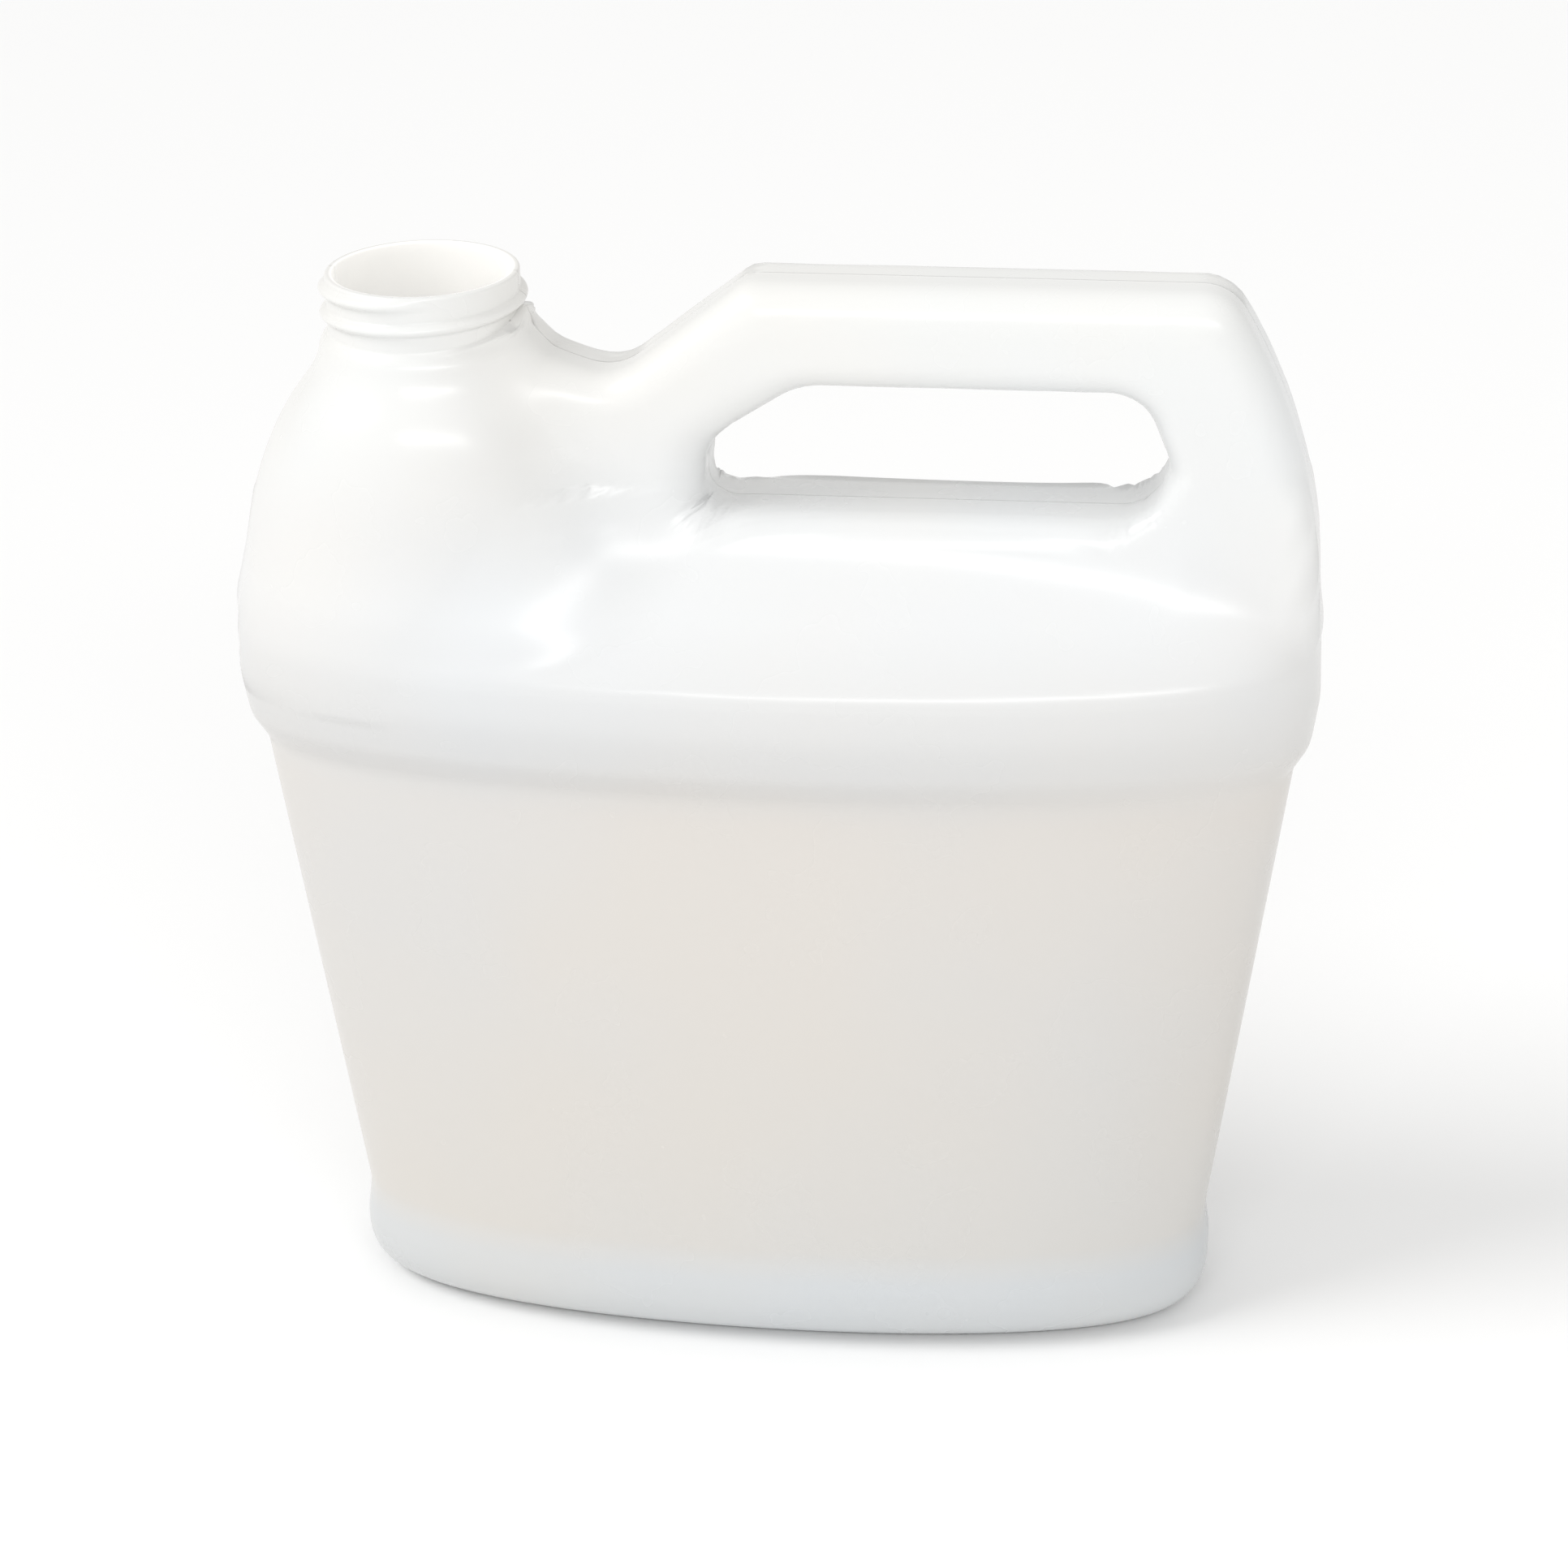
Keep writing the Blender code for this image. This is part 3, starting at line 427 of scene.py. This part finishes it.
def milky_polyethylene():
    """Natural blown polyethylene, nearly white and satin. Its tone follows height as painted light
    and shade:
    cool and darkest at the base, warmer and darker on the panel, lighter above as if lit from
    above through the wall. Colour, gloss and slow waves in the wall drift with noise, the mould's
    parting line is a low ridge where |y| is under 0.5 mm, and the bore has a painted glow, an
    emission standing in for daylight through its wall."""
    material = bpy.data.materials.new("milky_polyethylene")
    material.use_nodes = True
    nodes, links = material.node_tree.nodes, material.node_tree.links
    plastic = nodes["Principled BSDF"]
    plastic.inputs["Metallic"].default_value = 0.0
    plastic.inputs["IOR"].default_value = 1.52
    place = nodes.new("ShaderNodeTexCoord")
    split = nodes.new("ShaderNodeSeparateXYZ")
    links.new(place.outputs["Object"], split.inputs[0])

    def noise(scale, detail, stretch=(1.0, 1.0, 1.0)):
        across = nodes.new("ShaderNodeMapping")
        across.inputs["Scale"].default_value = stretch
        links.new(place.outputs["Object"], across.inputs["Vector"])
        texture = nodes.new("ShaderNodeTexNoise")
        texture.inputs["Scale"].default_value = scale
        texture.inputs["Detail"].default_value = detail
        links.new(across.outputs[0], texture.inputs["Vector"])
        return texture.outputs[0]

    def ramp(value, *stops):
        """Colour or grey value along straight steps between (place, colour) stops."""
        node = nodes.new("ShaderNodeValToRGB")
        band = node.color_ramp
        for at, colour in stops[2:]:
            band.elements.new(at)
        for element, (at, colour) in zip(band.elements, sorted(stops)):
            element.position = at
            rgb = colour if isinstance(colour, tuple) else (colour,) * 3
            element.color = rgb + (1.0,)
        links.new(value, node.inputs[0])
        return node.outputs[0]

    def mix(kind, amount, first, second):
        node = nodes.new("ShaderNodeMix")
        node.data_type = "RGBA"
        node.blend_type = kind
        for socket, value in ((0, amount), (6, first), (7, second)):
            if isinstance(value, bpy.types.NodeSocket):
                links.new(value, node.inputs[socket])
            else:
                node.inputs[socket].default_value = value
        return node.outputs[2]

    def between(value, low, high, first, last):
        """Straight step from first to last while the value goes from low to high."""
        node = nodes.new("ShaderNodeMapRange")
        for socket, number in zip(node.inputs[1:5], (low, high, first, last)):
            socket.default_value = number
        links.new(value, node.inputs[0])
        return node.outputs[0]

    def math(kind, *values):
        node = nodes.new("ShaderNodeMath")
        node.operation = kind
        for socket, value in zip(node.inputs, values):
            if isinstance(value, bpy.types.NodeSocket):
                links.new(value, socket)
            else:
                socket.default_value = value
        return node.outputs[0]

    # painted shade and light by height: base cool and darkest, panel warm and a little darker,
    # shoulder and handle lighter as if lit from above through the wall
    height = ramp(between(split.outputs[2], 0.0, 0.26, 0.0, 1.0),
                  (0.0, (0.600, 0.615, 0.620)), (0.072, (0.600, 0.615, 0.625)),
                  (0.105, (0.635, 0.618, 0.592)), (0.54, (0.665, 0.645, 0.622)),
                  (0.60, (0.655, 0.656, 0.655)), (0.72, (0.762, 0.768, 0.772)),
                  (1.0, (0.800, 0.800, 0.785)))
    drift = ramp(noise(11.0, 2.0), (0.35, (1.0, 0.985, 0.965)), (0.65, (0.975, 0.985, 0.995)))
    links.new(mix("MULTIPLY", 1.0, height, drift), plastic.inputs["Base Color"])
    links.new(ramp(noise(40.0, 3.0), (0.3, 0.24), (0.7, 0.29)), plastic.inputs["Roughness"])

    # the bore's painted glow, an emission standing in for daylight through the wall, by distance
    # from the neck's axis and fading out below the neck
    aside = math("SUBTRACT", split.outputs[0], (NECK_X - shift * 1000.0) * 0.001)
    radius = math("SQRT", math("ADD", math("MULTIPLY", aside, aside),
                               math("MULTIPLY", split.outputs[1], split.outputs[1])))
    painted_bore_glow = math("MULTIPLY", between(radius, 0.0206, 0.0212, 0.30, 0.0),
                between(split.outputs[2], 0.19, 0.225, 0.0, 1.0))
    links.new(painted_bore_glow, plastic.inputs["Emission Strength"])
    plastic.inputs["Emission Color"].default_value = (1.0, 0.985, 0.955, 1.0)

    # slow waves in the wall, and the parting line
    seam_line = between(math("ABSOLUTE", split.outputs[1]), 0.0, 0.0005, 1.0, 0.0)
    waves = math("MULTIPLY", noise(22.0, 1.0), 0.5)
    relief = math("ADD", waves, math("MULTIPLY", seam_line, 0.15))
    bump = nodes.new("ShaderNodeBump")
    bump.inputs["Strength"].default_value = 1.0
    bump.inputs["Distance"].default_value = 0.001
    links.new(relief, bump.inputs["Height"])
    links.new(bump.outputs[0], plastic.inputs["Normal"])
    return material


shell.data.materials.append(milky_polyethylene())
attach(shell, "root")
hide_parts("jug")


# The studio: white paper floor, a white room, one broad soft light from the upper left in
# front, and a long low box light in front that draws the highlights on ridge and handle.

floor_mesh = bpy.data.meshes.new("paper_floor")
paper_corners = [(-6, -6, 0), (6, -6, 0), (6, 6, 0), (-6, 6, 0)]
floor_mesh.from_pydata(paper_corners, [], [(0, 1, 2, 3)])
floor = bpy.data.objects.new("paper_floor", floor_mesh)
bpy.context.scene.collection.objects.link(floor)
paper = bpy.data.materials.new("white_paper")
paper.use_nodes = True
matt = paper.node_tree.nodes["Principled BSDF"]
matt.inputs["Base Color"].default_value = (0.93, 0.93, 0.93, 1.0)
matt.inputs["Roughness"].default_value = 0.9
floor_mesh.materials.append(paper)

room = bpy.data.worlds.new("white_room")
room.use_nodes = True
room.node_tree.nodes["Background"].inputs["Color"].default_value = (1.0, 0.998, 0.99, 1.0)
room.node_tree.nodes["Background"].inputs["Strength"].default_value = 0.75
bpy.context.scene.world = room

lamp = bpy.data.lights.new("soft_key", "SUN")
lamp.angle = np.radians(28.0)
lamp.energy = 1.15
key = bpy.data.objects.new("soft_key", lamp)
key.rotation_mode = "QUATERNION"
key.rotation_quaternion = Vector((1.3, 0.5, -1.45)).to_track_quat("-Z", "Y")
bpy.context.scene.collection.objects.link(key)

box = bpy.data.lights.new("front_box", "AREA")
box.shape = "RECTANGLE"
box.size, box.size_y = 1.3, 0.16
box.energy = 6.0
front_box = bpy.data.objects.new("front_box", box)
front_box.rotation_mode = "QUATERNION"
front_box.location = (0.25, -1.3, 1.0)
aim = Vector((0.0, 0.0, 0.15)) - front_box.location
front_box.rotation_quaternion = aim.to_track_quat("-Z", "Y")
bpy.context.scene.collection.objects.link(front_box)

# The camera stands where the photograph was taken: 26 degrees above the jug's level and 8
# degrees round to its right, with a long lens.
lens = bpy.data.cameras.new("photo_lens")
lens.sensor_width = 36.0
lens.lens = 86.46
lens.clip_start, lens.clip_end = 0.01, 50.0
camera = bpy.data.objects.new("photo_camera", lens)
pitch, swing, roll = np.radians((25.53, 8.16, 1.17))
right = np.array((np.cos(swing), np.sin(swing), 0.0))
level = np.array((-np.sin(swing), np.cos(swing), 0.0))
ahead = np.cos(pitch) * level + np.array((0.0, 0.0, -np.sin(pitch)))
above = np.sin(pitch) * level + np.array((0.0, 0.0, np.cos(pitch)))
turned_right = right * np.cos(roll) - above * np.sin(roll)
turned_up = right * np.sin(roll) + above * np.cos(roll)
pose = np.eye(4)
pose[:3, 0], pose[:3, 1], pose[:3, 2] = turned_right, turned_up, -ahead
pose[:3, 3] = (0.1163, -0.7990, 0.5191)
camera.matrix_world = Matrix(pose.tolist())
bpy.context.scene.collection.objects.link(camera)
bpy.context.scene.camera = camera
bpy.context.scene.view_settings.view_transform = "Standard"
bpy.context.scene.view_settings.look = "None"
